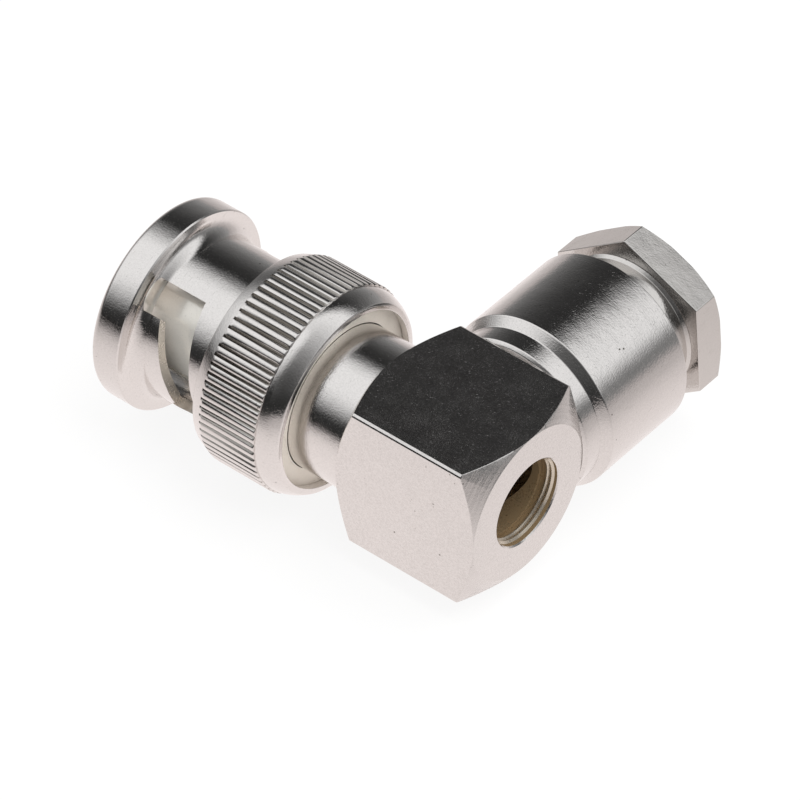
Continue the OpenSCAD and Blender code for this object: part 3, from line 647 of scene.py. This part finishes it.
# The circle's first corner stands a twelfth of a turn from the hexagon's
bmesh.ops.create_circle(hexagon, cap_ends=True, radius=NUT_CORNER_R, segments=6,
                        matrix=Matrix.Translation((CABLE_X, NUT_HEAD_FRONT, 0))
                        @ Matrix.Rotation(-math.pi / 2, 4, "X")
                        @ Matrix.Rotation(math.radians(30 - NUT_CLOCK), 4, "Z"))
draw_out(hexagon, (0, NUT_BACK - NUT_HEAD_FRONT, 0))
bmesh.ops.bevel(hexagon, geom=hexagon.edges[:], offset=NUT_EDGE, offset_type="OFFSET",
                segments=3, profile=0.5, affect="EDGES", clamp_overlap=True, material=-1)
nut = piece("nut", hexagon, nut_nickel)
# The turned chamfer on the back of the head starts from a circle that touches the flats
NUT_SLOPE, TOOL_R = math.tan(math.radians(31)), 8
machine(nut, turned([(NUT_HEAD_FRONT - PAST, 0), (NUT_HEAD_FRONT - PAST, TOOL_R),
                     (NUT_BACK - (TOOL_R - FLAT_R) * NUT_SLOPE, TOOL_R),
                     (NUT_BACK + OVER * NUT_SLOPE, FLAT_R - OVER),
                     (NUT_BACK + OVER * NUT_SLOPE, 0)], "cable", steps=240), "INTERSECT")
machine(nut, turned([(NUT_HEAD_FRONT - PAST, 0), (NUT_HEAD_FRONT - PAST, CABLE_R),
                     (NUT_BACK - NUT_MOUTH, CABLE_R), (NUT_BACK + PAST, CABLE_R + NUT_MOUTH + PAST),
                     (NUT_BACK + PAST, 0)], "cable", steps=144), "DIFFERENCE", bore_brass)
crisp(nut, 20)
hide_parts("clamp_nut")
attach(nut, "nut")

# The nut's shank runs SHANK_SUNK into the head; its fine thread ends at a slope
SHANK_R, SHANK_ROOT_R, THREAD_END, THREAD_SLOPE = 4.73, 4.48, 14.6, 0.25
SHANK_LEAD, SHANK_FOOT, SHANK_SUNK = 0.1, 0.2, 0.3
shank = piece("nut_shank", turned(eased(
    [(NUT_FRONT, CABLE_R), (NUT_FRONT, SHANK_ROOT_R - SHANK_LEAD),
     (NUT_FRONT + SHANK_LEAD, SHANK_ROOT_R), (THREAD_END, SHANK_ROOT_R),
     (THREAD_END + THREAD_SLOPE, SHANK_R), (NUT_HEAD_FRONT - SHANK_FOOT, SHANK_R),
     (NUT_HEAD_FRONT + SEAM, SHANK_R + SHANK_FOOT), (NUT_HEAD_FRONT + SHANK_SUNK, SHANK_R),
     (NUT_HEAD_FRONT + SHANK_SUNK, CABLE_R)]), "cable", steps=192), nut_nickel)
crisp(shank)
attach(shank, "nut")
NUT_PITCH, NUT_THREAD_START, NUT_THREAD_LENGTH = 0.75, 13.15, 1.25
nut_thread = thread("nut_thread", "cable", NUT_THREAD_START, NUT_THREAD_LENGTH, NUT_PITCH,
                    SHANK_ROOT_R - SEAM, SHANK_R, nut_nickel)
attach(nut_thread, "nut")

# Bowed spring washers. They lie between the shoulder and the thrust washer; in the plug they
# flatten as the ring is pulled, but here they keep their bowed shape
for name in ("front_spring", "rear_spring"):
    bowed = bmesh.new()
    bowed.from_mesh(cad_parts[name + "_washer"].data)
    bmesh.ops.scale(bowed, vec=(1 / MM, 1 / MM, 1 / MM), verts=bowed.verts)
    bmesh.ops.remove_doubles(bowed, verts=bowed.verts, dist=1e-4)
    spring = piece(name, bowed, strip_steel)
    crisp(spring)
    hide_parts(name + "_washer")
    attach(spring, "body")
    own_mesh(spring)

# Finishes of the solids that stay
for names, material in (
        (("closing_washer",), washer_nickel),
        (("braid_clamp", "slip_washer"), ring_nickel),
        (("thrust_washer",), strip_steel),
        (("mating_gasket", "cable_gasket"), rubber),
        (("front_insulator", "rear_insulator"), fluoropolymer),
        (("centre_contact",), pin_gold)):
    for name in names:
        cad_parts[name].data.materials.clear()
        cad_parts[name].data.materials.append(material)

# Floor. Paper that is white to the camera and keeps a faint shadow
FLOOR_REACH, PAPER_GLOW = 2000, 0.86
floor_bm = bmesh.new()
bmesh.ops.create_grid(floor_bm, x_segments=1, y_segments=1, size=FLOOR_REACH)
bmesh.ops.translate(floor_bm, vec=(0, 0, -GRIP_R), verts=floor_bm.verts)
floor_material, tree = start_material("pale_paper")
rays = add(tree, "ShaderNodeLightPath")
unseen = add(tree, "ShaderNodeMath", {0: rays.outputs["Is Glossy Ray"],
                                      1: rays.outputs["Is Transmission Ray"]}, operation="MAXIMUM")
paper = add(tree, "ShaderNodeMix", {0: unseen.outputs[0], 6: (1, 1, 1, 1), 7: linear("#FFF7F5")},
            data_type="RGBA")
# In the metal it is painted light: a bright pale rose pool round the part that fades outwards. Far
# out a painted grey shade stays, except towards -X and -Y, where it is black. Sizes in mm
POOL_CENTRE, POOL_SIZE, POOL_BRIGHT, POOL_FALL = (12, 4, -GRIP_R), 57, 1.02, 2.6
FAR_START, FAR_END, FAR_GREY = 30, 110, 0.42
GREY_SIDE, BLACK_UNTIL, GREY_FROM = (0.707, 0.707, 0), -0.95, -0.4
spot = add(tree, "ShaderNodeTexCoord").outputs["Object"]
off = add(tree, "ShaderNodeVectorMath", {0: spot, 1: [place * MM for place in POOL_CENTRE]},
          operation="SUBTRACT")
away = add(tree, "ShaderNodeVectorMath", {0: off.outputs[0]}, operation="LENGTH").outputs["Value"]
side = add(tree, "ShaderNodeVectorMath", {0: off.outputs[0]}, operation="NORMALIZE")
facing = add(tree, "ShaderNodeVectorMath", {0: side.outputs[0], 1: GREY_SIDE},
             operation="DOT_PRODUCT")
open_side = add(tree, "ShaderNodeMapRange",
                {0: facing.outputs["Value"], 1: BLACK_UNTIL, 2: GREY_FROM},
                interpolation_type="SMOOTHSTEP")
far = add(tree, "ShaderNodeMapRange",
          {0: away, 1: FAR_START * MM, 2: FAR_END * MM, 3: 0, 4: FAR_GREY},
          interpolation_type="SMOOTHSTEP")
grey = add(tree, "ShaderNodeMath", {0: open_side.outputs[0], 1: far.outputs[0]},
           operation="MULTIPLY")
ratio = add(tree, "ShaderNodeMath", {0: away, 1: POOL_SIZE * MM}, operation="DIVIDE")
steep = add(tree, "ShaderNodeMath", {0: ratio.outputs[0], 1: POOL_FALL}, operation="POWER")
under = add(tree, "ShaderNodeMath", {0: steep.outputs[0], 1: 1}, operation="ADD")
pool = add(tree, "ShaderNodeMath", {0: POOL_BRIGHT, 1: under.outputs[0]}, operation="DIVIDE")
faded = add(tree, "ShaderNodeMath", {0: pool.outputs[0], 1: grey.outputs[0]}, operation="ADD")
bright = add(tree, "ShaderNodeMix", {0: unseen.outputs[0], 2: 1.0, 3: faded.outputs[0]})
paper_glow = add(tree, "ShaderNodeEmission",
                 {"Color": paper.outputs[2], "Strength": bright.outputs[0]})
matt = add(tree, "ShaderNodeBsdfDiffuse", {"Color": linear("#F4F3F2")})
part = add(tree, "ShaderNodeMath", {0: rays.outputs["Is Camera Ray"], 1: PAPER_GLOW},
           operation="MULTIPLY")
share = add(tree, "ShaderNodeMath", {0: part.outputs[0], 1: unseen.outputs[0]},
            operation="MAXIMUM")
surface = add(tree, "ShaderNodeMixShader", {0: share.outputs[0], 1: matt.outputs[0],
                                            2: paper_glow.outputs[0]})
add(tree, "ShaderNodeOutputMaterial", {"Surface": surface.outputs[0]})
floor = piece("floor", floor_bm, floor_material)

# Studio. The camera sees white; only reflections see the panels
world = bpy.data.worlds.new("studio")
world.use_nodes = True
bpy.context.scene.world = world
tree = world.node_tree
tree.nodes.clear()
rays = add(tree, "ShaderNodeLightPath")
way = add(tree, "ShaderNodeTexCoord").outputs["Generated"]


def beyond(direction, edge=0.0, blur=0.05):
    """1 on the side of an edge in the studio that a direction points to, 0 on the other side."""
    reach = add(tree, "ShaderNodeVectorMath", {0: way, 1: direction}, operation="DOT_PRODUCT")
    return add(tree, "ShaderNodeMapRange",
               {0: reach.outputs["Value"], 1: edge - blur, 2: edge + blur},
               interpolation_type="SMOOTHSTEP").outputs[0]


def overlap(*shares):
    """1 where all the shares are 1."""
    made = shares[0]
    for share in shares[1:]:
        made = add(tree, "ShaderNodeMath", {0: made, 1: share}, operation="MULTIPLY").outputs[0]
    return made


# Two soft white panels: one overhead and on the ring's side, one past the cable's end. It is dark
# between them, where the camera stands, and grey low down behind the part
west = overlap(beyond((-0.668, 0.048, 0.743), 0.614, 0.242),
               beyond((-0.241, -0.964, 0.112), -0.01, 0.264),
               beyond((0, 0, 1), 0.106, 0.343))
east = overlap(beyond((-0.333, 0.922, -0.195), -0.408, 0.713),
               beyond((0.9, 0.417, 0.129), -0.455, 0.01),
               beyond((0.539, -0.673, 0.507), 0.043, 0.147),
               beyond((0, 0, 1), 0.286, 0.179))
PANEL_WHITE = (1.0, 1.005, 1.01, 1)
LOW_WAY, LOW_REACH, LOW_GREY, DARK = (0.039, 0.372, -0.928), 1.75, 1.2, 0.025
panels = add(tree, "ShaderNodeMath", {0: west, 1: east}, operation="MAXIMUM")
from_low = add(tree, "ShaderNodeVectorMath", {0: way, 1: LOW_WAY}, operation="DISTANCE")
dim = add(tree, "ShaderNodeMapRange",
          {0: from_low.outputs["Value"], 1: LOW_REACH, 2: 0, 3: DARK, 4: LOW_GREY},
          interpolation_type="SMOOTHSTEP").outputs[0]
dusk = add(tree, "ShaderNodeCombineColor", {0: dim, 1: dim, 2: dim})
studio = add(tree, "ShaderNodeMix", {0: panels.outputs[0], 6: dusk.outputs[0], 7: PANEL_WHITE},
             data_type="RGBA")
white = add(tree, "ShaderNodeMix", {0: rays.outputs["Is Glossy Ray"], 6: (1, 1, 1, 1),
                                    7: studio.outputs[2]}, data_type="RGBA")
background = add(tree, "ShaderNodeBackground", {"Color": white.outputs[2], "Strength": 1.0})
add(tree, "ShaderNodeOutputWorld", {"Surface": background.outputs[0]})

# One broad lamp over the right gives the shadow a side; the metal doesn't show it
lamp = bpy.data.objects.new("lamp", bpy.data.lights.new("lamp", "AREA"))
lamp.data.shape = "SQUARE"
lamp.data.size = 0.3
lamp.data.energy = 0.9
lamp.visible_glossy = False
lamp_place, lamp_aim = Vector((0.16, 0.05, 0.35)), Vector((0.015, 0.004, 0))
lamp.location = lamp_place
lamp.rotation_euler = (lamp_aim - lamp_place).to_track_quat("-Z", "Y").to_euler()
bpy.context.scene.collection.objects.link(lamp)
